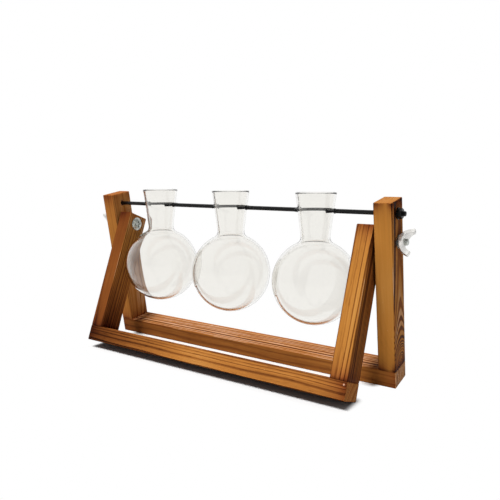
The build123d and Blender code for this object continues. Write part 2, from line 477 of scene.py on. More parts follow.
    @staticmethod
    def streaked(graph: Graph, place: Socket, width: float, length: float, detail: float) -> Socket:
        """Adds noise drawn out along the grain.

        Args:
            graph: The material's node tree.
            place: Where on the timber.
            width: The streaks' width in millimetres.
            length: Their length in millimetres.
            detail: The noise's octaves.

        Returns:
            The noise, from about 0.2 to 0.8.
        """
        across, along = 1 / (width * MM), 1 / (length * MM)
        drawn = graph.add("Mapping", {0: place, 3: (across / 2, across / 2, along)})
        return graph.add("TexNoise", {"Vector": drawn, "Scale": 1.0, "Detail": detail})


@dataclass(frozen=True)
class BlownGlass(Finish):
    """Clear borosilicate glass, blown and fire-polished: smooth and almost without colour, with painted grey
    shade where it is seen edge-on.
    """

    name: str = "blown_borosilicate_glass"
    ior: float = 1.47
    roughness: float = 0.0
    edge_shade_blend: float = 0.35
    edge_shade_start: float = 0.6
    face_colour: str = "#F7F6F3"
    edge_shade_colour: str = "#6E6C68"

    def sockets(self, graph: Graph) -> dict[int | str, object]:
        """The glass's own nodes, and what its shader gets."""
        # Painted shade: the colour turns grey where the glass is seen edge-on, standing in for the dark
        # outlines its surroundings give it.
        facing = graph.add("LayerWeight", {"Blend": self.edge_shade_blend}, out="Facing")
        stops = ((0.0, self.face_colour), (self.edge_shade_start, self.face_colour), (1.0, self.edge_shade_colour))
        return {
            "Base Color": graph.ramp(facing, stops),
            "Roughness": self.roughness,
            "IOR": self.ior,
            "Transmission Weight": 1.0,
        }


@dataclass(frozen=True)
class PaintedSteel(Finish):
    """Mild steel under baked black paint: satin, with the fine orange peel of a sprayed coat."""

    name: str = "black_painted_steel"
    colour: str = "#040404"
    worn_colour: str = "#090909"
    roughnesses: Point = (0.24, 0.38)
    specular: float = 0.22
    patch_mm: float = 5.5556
    patch_range: Point = (0.3, 0.7)
    worn_range: Point = (0.42, 0.75)
    peel_mm: float = 0.7
    peel_depth_mm: float = 0.002
    peel_strength: float = 0.6

    def sockets(self, graph: Graph) -> dict[int | str, object]:
        """The paint's own nodes, and what its shader gets."""
        place = graph.place()
        patches = graph.noise(place, self.patch_mm, detail=3.0)
        peel = graph.noise(place, self.peel_mm, detail=1.0)
        return {
            "Base Color": graph.ramp(patches, tuple(zip(self.worn_range, (self.colour, self.worn_colour)))),
            "Roughness": graph.remap(patches, self.patch_range, self.roughnesses),
            "Specular IOR Level": self.specular,
            "Normal": graph.bump(peel, self.peel_depth_mm, self.peel_strength),
        }


@dataclass(frozen=True)
class BrightMetal(Finish):
    """Plated or drawn metal: a clouded shine, with fine marks from the tumbling barrel or the drawing die."""

    colour: str
    dull_colour: str
    roughness: float
    cloud_mm: float = 2.6
    cloud_range: Point = (0.3, 0.7)
    dull_range: Point = (0.36, 0.62)
    gloss_changes: Point = (0.1, -0.05)
    mark_mm: float = 0.25
    mark_depth_mm: float = 0.004
    mark_strength: float = 0.5
    metallic: float = 1.0

    def sockets(self, graph: Graph) -> dict[int | str, object]:
        """The metal's own nodes, and what its shader gets."""
        place = graph.place()
        cloud = graph.noise(place, self.cloud_mm, detail=4.0)
        marks = graph.noise(place, self.mark_mm, detail=2.0)
        dull, bright = (self.roughness + change for change in self.gloss_changes)
        return {
            "Base Color": graph.ramp(cloud, tuple(zip(self.dull_range, (self.dull_colour, self.colour)))),
            "Metallic": self.metallic,
            "Roughness": graph.remap(cloud, self.cloud_range, (dull, bright)),
            "Normal": graph.bump(marks, self.mark_depth_mm, self.mark_strength),
        }


@dataclass(frozen=True)
class DriedResin(Finish):
    """A bead of pine resin, dried pale and cloudy."""

    name: str = "dried_pine_resin"
    stops: Stops = ((0.35, "#C98F6A"), (0.6, "#E6B496"))
    cloud_mm: float = 1.1111
    roughness: float = 0.3
    ior: float = 1.54

    def sockets(self, graph: Graph) -> dict[int | str, object]:
        """The resin's own nodes, and what its shader gets."""
        cloud = graph.noise(graph.place(), self.cloud_mm, detail=2.0)
        return {"Base Color": graph.ramp(cloud, self.stops), "Roughness": self.roughness, "IOR": self.ior}


# Timbers of the stand


@dataclass
class FaceLook:
    """How one face of a timber is stained.

    The tone goes from dark to light, char is the share of each year's growth that stays dark, and low and
    high are what the tone gains towards the timber's two ends.
    """

    tone: float
    red: float = 0.3
    grain: float = 0.6
    char: float = 0.35
    low: float = 0.0
    high: float = 0.0


@dataclass
class Timber:
    """One timber of the stand, with its growth rings, brushed relief and scorched arrises.

    Its mesh lies round its own middle, with the thickness on X, the depth on Y and the grain on Z. A size of
    a wobble or a wear is one across the grain and one along it.
    """

    name: str
    body: str
    place: Matrix
    length: float
    thickness: float = 14.1
    depth: float = 23.5
    rounding: float = 0.8
    foot_cut: bool = False
    pith: Point = (24.0, 6.0)
    pith_tilt: Point = (0.01, 0.02)
    sway: float = 1.6
    sway_length: float = 70.0
    sway_row: float = 3.1
    wobble: Point = (11.0, 60.0)
    knot_pull: float = 0.0
    knot_reach: float = 15.0
    ring_width: float = 2.0
    ring_rhythm: Point = (0.3, 1.3)
    seed: float = 0.0
    looks: dict[Face, FaceLook] = field(default_factory=dict)
    holes: list[tuple[Point3, str, float, float]] = field(default_factory=list)
    hole_sides: int = 32
    across_step: float = 0.33
    along_step: float = 2.4
    corner_steps: int = 3
    brushed_depth: float = 0.09
    softest_share: float = 0.42
    wear: Point = (9.0, 35.0)
    wear_gain: Point = (0.8, 0.5)
    arris_depth: float = 0.48
    end_hardness: float = 0.8
    end_scorch: float = 0.22
    end_redness: float = 0.6
    end_reach: float = 7.0
    end_patch: float = 8.0
    end_patch_level: float = 0.7

    def build(self, material: bpy.types.Material) -> None:
        """Builds, cuts and seats the timber.

        Args:
            material: The timber's material.
        """
        corners, faces = self.box_grid()
        points, normals = self.rounded(corners)
        rings = self.rings_at(points)
        points = self.brushed(points, normals, rings)
        mesh = bpy.data.meshes.new(self.name)
        mesh.from_pydata((points * MM).tolist(), [], faces)
        self.store(mesh, "ring", "FLOAT", rings)
        self.store(mesh, "edge", "FLOAT", self.edge_distances(corners))
        self.store(mesh, "stain", "FLOAT_COLOR", self.stains(normals, points))
        if self.foot_cut:
            self.cut_foot(mesh)
        piece = new_piece("dressed_" + self.name, mesh, material)
        piece.matrix_world = self.place
        if self.holes:
            self.drill(piece)
        seat_piece(piece, self.body, self.name)

    def box(self) -> tuple[np.ndarray, np.ndarray]:
        """The lowest and highest corner of the box that the grid covers."""
        high = np.array([self.thickness / 2, self.depth / 2, self.length / 2])
        return np.array([*-high[:2], -high[2] - (self.rounding if self.foot_cut else 0.0)]), high

    def steps(self, low: float, high: float, step: float) -> list[float]:
        """Divides a side, closer where its ends are rounded.

        Args:
            low: The side's lower end.
            high: Its upper end.
            step: The spacing between the roundings.

        Returns:
            The places of the grid's lines.
        """
        bend = [self.rounding * at / self.corner_steps for at in range(self.corner_steps)]
        start, stop = low + self.rounding, high - self.rounding
        count = max(1, round((stop - start) / step))
        middle = [start + (stop - start) * at / count for at in range(count + 1)]
        return [low + b for b in bend] + middle + [high - b for b in reversed(bend)]

    def box_grid(self) -> tuple[np.ndarray, list[tuple[int, ...]]]:
        """Lays a grid over the timber's box.

        Returns:
            The grid's points, in millimetres, one a row, and its faces.
        """
        spacing = (self.across_step, self.across_step, self.along_step)
        lines = [self.steps(*ends) for ends in zip(*self.box(), spacing)]
        numbers: dict[tuple[int, ...], int] = {}
        points: list[Point3] = []
        faces: list[tuple[int, ...]] = []

        def number(key: tuple[int, ...]) -> int:
            """The number of a grid point, which is added when it is first asked for."""
            if key not in numbers:
                numbers[key] = len(points)
                points.append(tuple(lines[axis][key[axis]] for axis in range(3)))
            return numbers[key]

        for axis in range(3):
            one, two = (axis + 1) % 3, (axis + 2) % 3
            for sign, level in ((-1, 0), (1, len(lines[axis]) - 1)):
                for a in range(len(lines[one]) - 1):
                    for b in range(len(lines[two]) - 1):
                        loop = []
                        for da, db in ((0, 0), (1, 0), (1, 1), (0, 1)):
                            key = [0, 0, 0]
                            key[axis], key[one], key[two] = level, a + da, b + db
                            loop.append(number(tuple(key)))
                        faces.append(tuple(loop if sign > 0 else reversed(loop)))
        return np.array(points), faces

    def rounded(self, corners: np.ndarray) -> tuple[np.ndarray, np.ndarray]:
        """Rounds the box's edges.

        Args:
            corners: Points on the sharp box.

        Returns:
            The points on the rounded box, and their outward normals.
        """
        low, high = self.box()
        core = np.clip(corners, low + self.rounding, high - self.rounding)
        outward = corners - core
        normals = outward / np.linalg.norm(outward, axis=1, keepdims=True)
        return core + normals * self.rounding, normals

    def rings_at(self, points: np.ndarray) -> np.ndarray:
        """Counts growth rings from the pith.

        Args:
            points: Points of the timber in millimetres.

        Returns:
            The ring number at each point, with its share.
        """
        found = np.empty(len(points))
        across, along = self.wobble
        uneven, rate = self.ring_rhythm
        for at, (x, y, z) in enumerate(points):
            wave = noise.noise(Vector((self.seed, z / self.sway_length, self.sway_row))) * self.sway
            swerve = self.knot_pull * math.exp(-(z + self.length / 2) / self.knot_reach)
            pith_x = self.pith[0] + self.pith_tilt[0] * z + swerve + wave
            pith_y = self.pith[1] + self.pith_tilt[1] * z + wave
            away = math.hypot(x - pith_x, y - pith_y)
            away += self.sway / 2 * noise.noise(Vector((x / across, y / across + self.seed, z / along)))
            share = away / self.ring_width
            found[at] = share + uneven * math.sin(share * rate + self.seed)
        return found

    def brushed(self, points: np.ndarray, normals: np.ndarray, rings: np.ndarray) -> np.ndarray:
        """Sinks the soft early wood, as a wire brush does, and wears the arrises.

        Args:
            points: Points on the rounded box.
            normals: Their outward normals.
            rings: Their ring numbers.

        Returns:
            The points of the brushed timber.
        """
        soft = 0.5 + 0.5 * np.cos(FULL_TURN * (rings - self.softest_share))
        grain = np.array([self.blended(normal)[2] for normal in normals])
        across, along = self.wear
        spots = [Vector((x / across, y / across, z / along + self.seed)) for x, y, z in points]
        wear = np.array([noise.noise(spot) for spot in spots])
        level, gain = self.wear_gain
        depth = self.brushed_depth * soft * grain * (level + gain * wear)
        depth += self.arris_depth * (0.5 + wear) * np.clip(1 - np.abs(normals).max(axis=1), 0, 1)
        depth *= 1 - self.end_hardness * np.abs(normals[:, 2])
        return points - normals * np.clip(depth, 0, None)[:, None]

    def blended(self, normal: np.ndarray, along: float = 0.0) -> tuple[float, ...]:
        """Mixes the looks of the faces that a normal points towards.

        Args:
            normal: An outward normal.
            along: The place along the grain, from -1 at the low end to 1 at the high end.

        Returns:
            The tone, redness, grain strength and charred share.
        """
        total = np.zeros(4)
        for face, look in self.looks.items():
            axis, sign = face.value
            weight = max(0.0, sign * normal[axis]) ** 2
            gain = look.low * max(0.0, -along) + look.high * max(0.0, along)
            total += weight * np.array((look.tone + gain, look.red, look.grain, look.char))
        return tuple(total)

    def stains(self, normals: np.ndarray, points: np.ndarray) -> np.ndarray:
        """Works out the stain of each point.

        Args:
            normals: The outward normals.
            points: The points in millimetres.

        Returns:
            Tone, redness, grain strength and charred share for each point.
        """
        along = 2 * points[:, 2] / self.length
        rows = np.array([self.blended(normal, at) for normal, at in zip(normals, along)])
        from_end = self.length / 2 - np.abs(points[:, 2])
        size = self.end_patch
        patchy = np.array([noise.noise(Vector((x / size, y / size, self.seed))) for x, y, _ in points])
        near_end = (1 - np.abs(normals[:, 2])) * np.exp(-from_end / self.end_reach)
        near_end *= self.end_patch_level + patchy
        rows[:, 0] -= self.end_scorch * near_end
        rows[:, 1] = np.clip(rows[:, 1] + self.end_redness * near_end, 0, 1)
        return rows

    def edge_distances(self, corners: np.ndarray) -> np.ndarray:
        """Measures how far each point is from the nearest arris.

        Args:
            corners: Points on the sharp box.

        Returns:
            The distances in millimetres.
        """
        low, high = self.box()
        gaps = np.sort(np.minimum(corners - low, high - corners), axis=1)
        return gaps[:, 1]

    @staticmethod
    def store(mesh: bpy.types.Mesh, name: str, kind: str, values: np.ndarray) -> None:
        """Keeps a value for each point of a mesh.

        Args:
            mesh: The mesh.
            name: The attribute's name.
            kind: Blender's type of attribute.
            values: The values, one row a point.
        """
        attribute = mesh.attributes.new(name, kind, "POINT")
        word = "color" if kind == "FLOAT_COLOR" else "value"
        attribute.data.foreach_set(word, values.astype(np.float32).ravel())

    def cut_foot(self, mesh: bpy.types.Mesh) -> None:
        """Cuts the foot square where it stands on the rail.

        Args:
            mesh: The upright's mesh, longer than the upright by its rounding.
        """
        work = bmesh.new()
        work.from_mesh(mesh)
        parts = [*work.verts, *work.edges, *work.faces]
        foot = (0, 0, -self.length / 2 * MM)
        cut = bmesh.ops.bisect_plane(work, geom=parts, plane_co=foot, plane_no=(0, 0, -1), clear_outer=True)
        rim = [part for part in cut["geom_cut"] if isinstance(part, bmesh.types.BMEdge)]
        bmesh.ops.contextual_create(work, geom=rim)
        work.to_mesh(mesh)
        work.free()

    def drill(self, piece: bpy.types.Object) -> None:
        """Cuts the bolt, bar and brad holes.

        Args:
            piece: The timber's object.
        """
        turns = {"X": Matrix.Rotation(math.pi / 2, 4, "Y"), "Z": Matrix.Identity(4)}
        work = bmesh.new()
        for middle, axis, radius, length in self.holes:
            bmesh.ops.create_cone(
                work,
                cap_ends=True,
                segments=self.hole_sides,
                radius1=radius * MM,
                radius2=radius * MM,
                depth=length * MM,
                matrix=Matrix.Translation(Vector(middle) * MM) @ turns[axis],
            )
        cutter = linked("cutter", mesh_from(work, "rods"))
        cutter.matrix_world = self.place
        modifier = piece.modifiers.new("holes", "BOOLEAN")
        modifier.object = cutter
        modifier.solver = "EXACT"
        bpy.context.view_layer.update()
        applied(piece)
        bpy.data.objects.remove(cutter)


@dataclass(frozen=True)
class PineFrame:
    """One of the stand's two hinged frames: two uprights on a rail, built up from its foot edge.

    Inward is 1 where its depth goes to the back and -1 where it goes to the front. Each bore is a height
    above the foot and a radius.
    """

    name: str
    inward: int
    foot_y: float
    drop: float
    lean: float
    outer_x: float
    height: float
    bores: tuple[Point, ...]
    thickness: float = Timber.thickness
    depth: float = Timber.depth
    brad_radius: float = 0.82
    brad_head_radius: float = 1.62
    brad_head_height: float = 0.82
    brad_length: float = 32.0
    brad_spacing: float = 10.0
    overrun: float = 2.0

    @property
    def body(self) -> str:
        """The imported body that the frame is."""
        return f"{self.name}_frame"

    def foot_edge(self) -> Matrix:
        """The matrix from the frame's own axes, at its foot edge, to the part's."""
        edge = Matrix.Translation((0, self.foot_y * MM, -self.drop * MM))
        return edge @ Matrix.Rotation(math.radians(self.lean), 4, "X")

    def middle(self, x: float, up: float) -> Matrix:
        """Where a timber's middle lies.

        Args:
            x: Its place along the frame's width.
            up: Its height above the foot.

        Returns:
            The matrix from the timber's middle, with the frame's axes, to the part's.
        """
        inside = (x * MM, self.inward * self.depth / 2 * MM, up * MM)
        return self.foot_edge() @ Matrix.Translation(inside)

    def brad_lines(self) -> tuple[float, float]:
        """Where a pair of brads stands across the timber's depth."""
        return (-0.5 * self.brad_spacing, 0.5 * self.brad_spacing)

    def rail(self, **style: object) -> Timber:
        """Describes the frame's rail.

        Args:
            **style: The grain and stain of the timber.

        Returns:
            The rail, with its brad holes.
        """
        through = self.thickness + 2 * self.overrun
        head_depth = self.brad_head_height + self.overrun
        head = self.thickness / 2 - self.brad_head_height / 2 + self.overrun / 2
        holes = []
        for side in (-1, 1):
            along = side * (self.outer_x - self.thickness / 2)
            for across in self.brad_lines():
                holes.append(((0, across, along), "X", self.brad_radius, through))
                holes.append(((head, across, along), "X", self.brad_head_radius, head_depth))
        place = self.middle(0.0, self.thickness / 2) @ Matrix.Rotation(math.pi / 2, 4, "Y")
        return Timber(f"{self.name}_rail", self.body, place, 2 * self.outer_x, holes=holes, **style)

    def upright(self, side: Side, **style: object) -> Timber:
        """Describes one of the frame's uprights.

        Args:
            side: Left or right.
            **style: The grain and stain of the timber.

        Returns:
            The upright, with its holes.
        """
        length = self.height - self.thickness
        middle_x = side.value * (self.outer_x - self.thickness / 2)
        middle_z = self.thickness + length / 2
        through = self.thickness + 2 * self.overrun
        holes = [((0, 0, along - middle_z), "X", radius, through) for along, radius in self.bores]
        deep = self.brad_length - self.thickness + self.overrun
        brad_z = -length / 2 - self.overrun + deep / 2
        holes += [((0, across, brad_z), "Z", self.brad_radius, deep) for across in self.brad_lines()]
        name = f"{self.name}_{side.word}_upright"
        place = self.middle(middle_x, middle_z)
        return Timber(name, self.body, place, length, foot_cut=True, holes=holes, **style)


REAR = PineFrame(
    name="rear",
    inward=1,
    foot_y=19.206,
    drop=0.118,
    lean=9.25,
    outer_x=150.0,
    height=147.778,
    bores=((137.778, 2.1), (116.478, 2.6)),
)
FRONT = PineFrame(
    name="front",
    inward=-1,
    foot_y=-21.822,
    drop=0.239,
    lean=-21.7,
    outer_x=134.3,
    height=130.219,
    bores=((121.219, 2.6),),
)
# What the photograph doesn't show of an upright, unless its own looks say otherwise
HIDDEN_LOOKS = {
    Face.LOW_X: FaceLook(0.5, 0.4, 0.6),
    Face.BACK: FaceLook(0.6, 0.3, 0.4),
    Face.LOW_END: FaceLook(0.5),
}


def stand() -> list[Timber]:
    """Describes the six timbers, each with the rings and the stain of the photographed one; the front rail's
    underside is darkened as painted shade.

    Returns:
        The timbers, in the order in which they are built.
    """
    look = FaceLook
    return [
        REAR.rail(
            pith=(20.0, 56.0),
            pith_tilt=(0.002, 0.003),
            sway=0.5,
            ring_width=2.6,
            seed=1.7,
            looks={
                Face.LOW_X: look(0.89, 0.6, 1.0, char=0.6),
                Face.HIGH_X: look(0.3, 0.3, 0.5),
                Face.FRONT: look(0.55, 0.25, 0.3, high=0.12),
                Face.BACK: look(0.5, 0.35, 0.4),
                Face.LOW_END: look(0.62, 0.3, 0.7),
                Face.HIGH_END: look(0.92, 0.4, 1.0, char=0.6),
            },
        ),
        FRONT.rail(
            pith=(28.0, 45.0),
            pith_tilt=(0.002, 0.002),
            sway=0.4,
            ring_width=1.4,
            brushed_depth=0.05,
            seed=8.3,
            looks={
                Face.LOW_X: look(0.66, 0.4, 0.5),
                # The rail's underside gets a low tone as painted shade, because it lies in shadow over the
                # floor.
                Face.HIGH_X: look(0.2, 0.3, 0.5),
                Face.FRONT: look(0.76, 0.25, 0.6, char=0.42, low=-0.43, high=-0.12),
                Face.BACK: look(0.6, 0.3, 0.5),
                Face.LOW_END: look(0.5, 0.4, 0.7),
                Face.HIGH_END: look(0.74, 0.4, 0.8, char=0.4),
            },
        ),
        REAR.upright(
            Side.RIGHT,
            pith=(-17.0, 3.0),
            knot_pull=33.8,
            pith_tilt=(-0.02, 0.02),
            sway=0.8,
            seed=4.1,
            end_scorch=0.85,
            end_redness=0.9,
            end_reach=4.2,
            looks=HIDDEN_LOOKS
            | {
                Face.HIGH_X: look(0.88, 0.4, 1.0, char=0.62, low=-0.1, high=-0.08),
                Face.FRONT: look(0.79, 0.0, 0.04, low=-0.06, high=-0.04),
                Face.HIGH_END: look(0.85, 0.35, 0.4),
            },
        ),
        REAR.upright(
            Side.LEFT,
            pith=(30.0, 12.0),
            pith_tilt=(0.03, 0.01),
            ring_width=2.3,
            seed=6.6,
            looks=HIDDEN_LOOKS
            | {
                Face.HIGH_X: look(0.88, 0.35, 0.5),
                Face.FRONT: look(0.7, 0.15, 0.1, low=0.08),
                Face.HIGH_END: look(0.75, 0.6, 0.4),
            },
        ),
        FRONT.upright(
            Side.RIGHT,
            pith=(9.0, -5.0),
            pith_tilt=(0.01, 0.01),
            sway=0.6,
            ring_width=2.8,
            seed=2.9,
            looks=HIDDEN_LOOKS
            | {
                Face.LOW_X: look(0.5, 0.3, 0.6),
                Face.HIGH_X: look(0.54, 0.25, 0.6, char=0.5),
                Face.FRONT: look(0.72, 0.08, 0.6, char=0.3),
                Face.HIGH_END: look(0.75, 0.3, 0.5),
            },
        ),
        FRONT.upright(
            Side.LEFT,
            pith=(3.0, -40.0),
            sway=0.5,
            ring_width=2.7,
            seed=9.5,
            looks=HIDDEN_LOOKS
            | {
                Face.HIGH_X: look(0.64, 0.25, 0.5, char=0.48, low=-0.26, high=0.32),
                Face.FRONT: look(0.45, 0.45, 0.3, char=0.25),
                Face.BACK: look(0.5, 0.3, 0.4),
                Face.HIGH_END: look(0.7, 0.4, 0.5),
            },
        ),
    ]


@dataclass
class ResinBead:
    """The pale bead of dried resin on the front rail's front, near its right end."""

    place: Point = (132.08, 11.49)
    radius: float = 0.7
    height: float = 0.3
    subdivisions: int = 4
    lump_height: float = 0.18
    lump_rate: float = 1.7

    def build(self, material: bpy.types.Material) -> None:
        """Builds and seats the bead.

        Args:
            material: The resin.
        """
        work = bmesh.new()
        bmesh.ops.create_icosphere(work, subdivisions=self.subdivisions, radius=1.0)
        for vertex in work.verts:
            lump = 1 + self.lump_height * noise.noise(vertex.co * self.lump_rate)
            vertex.co *= Vector((self.radius, self.height, self.radius)) * lump * MM
        piece = new_piece("front_rail_resin_bead", mesh_from(work, "resin_bead"), material)
        x, up = self.place
        piece.matrix_world = FRONT.foot_edge() @ Matrix.Translation(Vector((x, -FRONT.depth, up)) * MM)
        seat_piece(piece, "front_frame")


# Glass


@dataclass
class GlassVase:
    """One blown vase: a round bulb, a rounded root and a neck that flares to a fire-polished lip.

    Its breath is how far the blown wall strays from round, in lobes that die out near the axis.
    """

    name: str
    place: Point3
    seed: float
    bulb_radius: float = 35.0
    wall: float = 1.8
    bulb_drop: float = 58.057
    root_radius: float = 11.5
    seat_radius: float = 14.5
    mouth_radius: float = 16.5
    lip_height: float = 14.3
    root_rounding: float = 5.0
    bend_share: float = 0.8
    around: int = 168
    bulb_steps: int = 190
    neck_steps: int = 90
    bend_steps: int = 14
    lip_turns: tuple[int, int, int] = (10, 180, 16)
    breath: float = 0.02
    lobe_rate: float = 1.4
    lobe_height: float = 24.0
    still_radius: float = 8.0

    @staticmethod
    def arc_through(first: Point, middle: Point, last: Point, count: int) -> list[Point]:
        """Samples the arc through three points.

        Args:
            first: Where it starts.
            middle: A point on its way.
            last: Where it ends.
            count: The number of steps.

        Returns:
            The points, both ends included.
        """
        (ax, ay), (bx, by), (cx, cy) = first, middle, last
        twice = 2 * (ax * (by - cy) + bx * (cy - ay) + cx * (ay - by))
        a2, b2, c2 = ax * ax + ay * ay, bx * bx + by * by, cx * cx + cy * cy
        ox = (a2 * (by - cy) + b2 * (cy - ay) + c2 * (ay - by)) / twice
        oy = (a2 * (cx - bx) + b2 * (ax - cx) + c2 * (bx - ax)) / twice
        radius = math.hypot(ax - ox, ay - oy)
        start, way, end = (math.atan2(y - oy, x - ox) for x, y in (first, middle, last))
        turn = (end - start) % FULL_TURN
        if (way - start) % FULL_TURN > turn:
            turn -= FULL_TURN
        sweep = [start + turn * at / count for at in range(count + 1)]
        return [(ox + radius * math.cos(a), oy + radius * math.sin(a)) for a in sweep]

    def joined(self, first: list[Point], second: list[Point], rounding: float) -> list[Point]:
        """Joins two lines that meet at a corner by a smooth bend.

        Args:
            first: The line that comes in.
            second: The line that goes on.
            rounding: The radius that the bend has in the part's source.

        Returns:
            The whole line.
        """
        corner = first[-1]
        reach = rounding * self.bend_share
        head = [p for p in first if math.dist(p, corner) > reach]
        tail = [p for p in second if math.dist(p, corner) > reach]
        bend = []
        for at in range(1, self.bend_steps):
            t = at / self.bend_steps
            weights = ((1 - t) ** 2, 2 * t * (1 - t), t * t)
            pulls = list(zip(weights, (head[-1], corner, tail[0])))
            bend.append(tuple(sum(weight * point[axis] for weight, point in pulls) for axis in (0, 1)))
        return head + bend + tail

    def profile(self) -> list[Point]:
        """The closed section's line, from the outer foot over the lip to the inner foot.

        Returns:
            Radius and height of each point, in millimetres, from the bar's level.
        """
        centre, wall = -self.bulb_drop, self.wall
        inner_bulb, inner_radius = self.bulb_radius - wall, self.root_radius - wall
        outer_root = (self.root_radius, centre + math.sqrt(self.bulb_radius**2 - self.root_radius**2))
        inner_root = (inner_radius, centre + math.sqrt(inner_bulb**2 - inner_radius**2))
        lip, inner_lip = (self.mouth_radius, self.lip_height), (self.mouth_radius - wall, self.lip_height)
        outer_foot, inner_foot = (0, centre - self.bulb_radius), (0, centre - inner_bulb)
        bulb = self.arc_through(outer_foot, (self.bulb_radius, centre), outer_root, self.bulb_steps)
        neck = self.arc_through(outer_root, (self.seat_radius, 0), lip, self.neck_steps)
        inner_neck = self.arc_through(inner_lip, (self.seat_radius - wall, 0), inner_root, self.neck_steps)
        inner = self.arc_through(inner_root, (inner_bulb, centre), inner_foot, self.bulb_steps)
        half = wall / 2
        top_radius, top = self.mouth_radius - half, self.lip_height - half
        outer_line = [p for p in self.joined(bulb, neck, self.root_rounding) if p[1] < top]
        inner_line = [p for p in self.joined(inner_neck, inner, self.root_rounding + wall) if p[1] < top]
        turns = [math.radians(angle) for angle in range(*self.lip_turns)]
        polished = [(top_radius + half * math.cos(a), top + half * math.sin(a)) for a in turns]
        return outer_line + polished + inner_line

    def build(self, material: bpy.types.Material) -> None:
        """Spins the section and seats the vase.

        Args:
            material: The glass.
        """
        line = self.profile()
        inside = line[1:-1]

        def blown(row: int, angle: float) -> Point3:
            """A point of the blown wall."""
            radius, height = inside[row]
            way = Vector((math.cos(angle), math.sin(angle), 0))
            lobe = noise.noise(way * self.lobe_rate + Vector((0, 0, height / self.lobe_height + self.seed)))
            spread = radius + self.breath * lobe * min(1.0, radius / self.still_radius)
            return (spread * math.cos(angle), spread * math.sin(angle), height)

        rings = ringed(len(inside), self.around, blown).reshape(-1, 3)
        points = np.vstack([(0, 0, line[0][1]), rings, (0, 0, line[-1][1])])
        last = len(points) - 1
        top = last - self.around
        faces = []
        for at in range(self.around):
            after = (at + 1) % self.around
            faces += [(0, 1 + after, 1 + at), (last, top + at, top + after)]
            for low in range(1, top, self.around):
                high = low + self.around
                faces.append((low + at, low + after, high + after, high + at))
        mesh = bpy.data.meshes.new(self.name)
        mesh.from_pydata((points * MM).tolist(), [], faces)
        piece = new_piece("dressed_" + self.name, mesh, material)
        piece.location = Vector(self.place) * MM
        piece.visible_shadow = False
        seat_piece(piece, self.name, self.name)


# Metal


@dataclass
class BarWork:
    """What the bar's plain solids lack: cut threads on its two ends and weld beads at the clips."""

    wire_radius: float = 1.75
    crest_radius: float = 2.0
    thread_depth: float = 0.38
    flank_rate: float = 2.4
    pitch: float = 0.7
    thread_start: float = 146.0
    thread_end: float = 156.35
    end_chamfer: float = 0.45
    clip_seat: float = 16.625
    bead_rows: int = 26
    bead_start: float = 0.3
    bead_sink: float = 0.04
    bead_length: float = 1.7
    bead_rise: float = 0.4
    bead_fall: float = 1.6
    ripple_height: float = 0.12
    ripple_rate: float = 21.0
    ripple_bow: float = 1.5
    lump_height: float = 0.2
    lump_rate: float = 2.0
    around: int = 36
    thread_step: float = 0.07
    rod_step: float = 3.0

    @staticmethod
    def seat(name: str, rings: np.ndarray, x: float, material: bpy.types.Material, *nodes: str) -> None:
        """Seats a piece on the bar's line.

        Args:
            name: The piece's name.
            rings: Its rings, in millimetres.
            x: Where it is along the bar.
            material: The black paint.
            *nodes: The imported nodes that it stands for.
        """
        mesh = grid_mesh(name.removeprefix("dressed_"), rings)
        piece = new_piece(name, mesh, material)
        piece.location = Vector((x, *BAR_LEVEL)) * MM
        seat_piece(piece, "bar", *nodes)

    def end_bar(self, side: Side, material: bpy.types.Material) -> None:
        """Builds the bar's end with its rolled thread.

        Args:
            side: Left or right.
            material: The black paint.
        """
        start = VASE_SPACING + self.clip_seat
        plain = max(2, round((self.thread_start - start) / self.rod_step))
        places = [start + (self.thread_start - start) * at / plain for at in range(plain)]
        fine = round((self.thread_end - self.thread_start) / self.thread_step)
        places += [self.thread_start + self.thread_step * at for at in range(fine + 1)]

        def threaded(row: int, angle: float) -> Point3:
            """A point of the bar's end."""
            return round_x(places[row], self.radius_at(places[row], angle), angle)

        rings = ringed(len(places), self.around, threaded)
        name = side.word + "_end_bar"
        self.seat("dressed_" + name, on_side(rings, side), 0.0, material, name)

    def radius_at(self, x: float, angle: float) -> float:
        """The radius of the bar's end.

        Args:
            x: The place along the bar.
            angle: The place round it.

        Returns:
            The radius in millimetres.
        """
        if x < self.thread_start:
            return self.wire_radius
        turn = (x / self.pitch - angle / FULL_TURN) % 1
        groove = min(1.0, abs(turn - 0.5) * self.flank_rate)
        run_out = min(1.0, (x - self.thread_start) / self.pitch)
        radius = self.crest_radius - self.thread_depth * (1 - groove) * run_out
        return min(radius, self.crest_radius - self.end_chamfer + max(0.0, self.thread_end - x))

    def weld(self, vase: str, vase_x: float, side: Side, material: bpy.types.Material) -> None:
        """Builds the bead where the bar meets a clip.

        Args:
            vase: The vase's name in front of its clip.
            vase_x: Where that vase hangs.
            side: The clip's side.
            material: The black paint.
        """

        def beaded(row: int, angle: float) -> Point3:
            """A point of the bead, which swells towards the clip and falls off along the bar."""
            share = row / (self.bead_rows - 1)
            phase = share * self.ripple_rate + self.ripple_bow * math.sin(angle)
            ripple = self.ripple_height * math.cos(phase) * math.sin(math.pi * share)
            where = Vector((math.cos(angle), math.sin(angle), share * self.lump_rate + vase_x))
            uneven = ripple + self.lump_height * noise.noise(where)
            swell = self.bead_rise * math.sin(math.pi * (1 - share) * 0.5) ** self.bead_fall
            radius = self.wire_radius - self.bead_sink + swell + uneven * swell
            return round_x(self.clip_seat - self.bead_start + self.bead_length * share, radius, angle)

        rings = ringed(self.bead_rows, self.around, beaded)
        self.seat(f"{vase}_clip_{side.word}_weld", on_side(rings, side), vase_x, material)

    def build(self, material: bpy.types.Material) -> None:
        """Builds both ends and all the beads.

        Args:
            material: The black paint.
        """
        for side in Side:
            self.end_bar(side, material)
            for at, vase in enumerate(VASE_WORDS):
                self.weld(vase, (at - 1) * VASE_SPACING, side, material)


